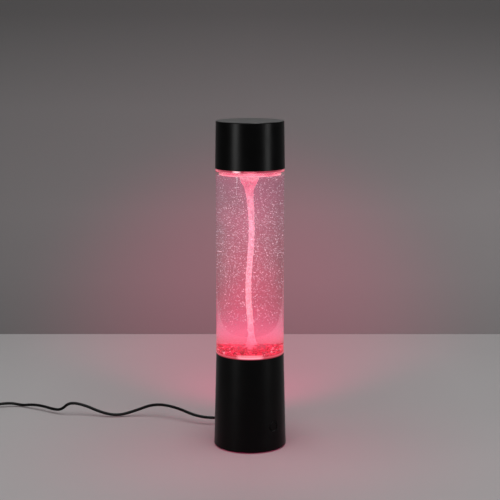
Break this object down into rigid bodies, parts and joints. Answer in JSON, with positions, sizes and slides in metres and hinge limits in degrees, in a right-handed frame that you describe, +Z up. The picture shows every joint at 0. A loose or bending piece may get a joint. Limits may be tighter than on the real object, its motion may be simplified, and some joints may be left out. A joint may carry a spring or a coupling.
{
  "type": "tornado lamp",
  "caption": "Cylinder lamp: a water-filled clear tube between a black base and cap, lit from below, with a magnetic impeller that spins a whirl.",
  "frame": {"origin": "on the table at the middle of the lamp, under its rubber feet", "axes": "+Z up the tube's axis; -Y towards the viewer of the picture; +Y to the cord's exit at the rear; +X to the viewer's right"},
  "size_m": [0.384, 0.1744, 0.3383],
  "materials": {
    "black_plastic": "satin",
    "clear_acrylic": "gloss",
    "water": "gloss",
    "rubber": "matte",
    "steel": "satin",
    "nickel": "polished",
    "brass": "satin",
    "white_plastic": "satin",
    "green_board": "gloss",
    "white_board": "gloss",
    "led_lens": "gloss",
    "wire_jacket": "gloss",
    "cord_jacket": "satin"
  },
  "bodies": {
    "lamp": {"base_shell": "black_plastic", "base_plate": "black_plastic", "switch_body": "black_plastic", "control_chip": "black_plastic", "control_capacitor": "black_plastic", "tube": "clear_acrylic", "tank_floor": "clear_acrylic", "tube_plug": "clear_acrylic", "water": "water", "rubber_feet": "rubber", "cap_ring": "rubber", "fill_seal": "rubber", "base_screws": "steel", "mount_screws": "steel", "motor_screws": "steel", "led_board_screws": "steel", "tank_screws": "steel", "motor_can": "steel", "impeller_pin": "steel", "impeller_clip": "steel", "usb_shell": "nickel", "motor_bush": "brass", "motor_terminals": "brass", "usb_contacts": "brass", "motor_end_cap": "white_plastic", "motor_mount": "white_plastic", "impeller_washer": "white_plastic", "fill_screw": "white_plastic", "wire_connector": "white_plastic", "usb_tongue": "white_plastic", "control_board": "green_board", "led_board": "white_board", "leds": "led_lens", "motor_leads": "wire_jacket", "led_leads": "wire_jacket", "strain_relief": "cord_jacket", "inner_lead": "cord_jacket", "cord": "cord_jacket", "cord_tail": "cord_jacket", "cord_coil": "cord_jacket", "cord_tie": "cord_jacket", "usb_plug_body": "cord_jacket"},
    "button": {"button": "black_plastic", "switch_plunger": "white_plastic"},
    "motor_rotor": {"motor_shaft": "steel", "magnet_carrier": "white_plastic", "drive_magnets": "nickel"},
    "impeller": {"impeller": "white_plastic", "impeller_magnets": "nickel"},
    "cap": {"cap": "black_plastic"}
  },
  "joints": [
    {"name": "button_press", "type": "slide", "parent": "lamp", "child": "button", "axis": [-0.6561, 0.7547, 0], "range_m": [0, 0.0012], "stiffness_N_per_m": 400},
    {"name": "motor_spin", "type": "hinge", "parent": "lamp", "child": "motor_rotor", "pos_m": [0, 0, 0.085], "axis": [0, 0, 1], "continuous": true},
    {"name": "impeller_spin", "type": "hinge", "parent": "lamp", "child": "impeller", "pos_m": [0, 0, 0.103], "axis": [0, 0, 1], "continuous": true},
    {"name": "cap_lift", "type": "slide", "parent": "lamp", "child": "cap", "axis": [0, 0, 1], "range_m": [0, 0.06]}
  ],
  "couplings": [
    {"joint": "impeller_spin", "follows": "motor_spin", "ratio": 1}
  ]
}
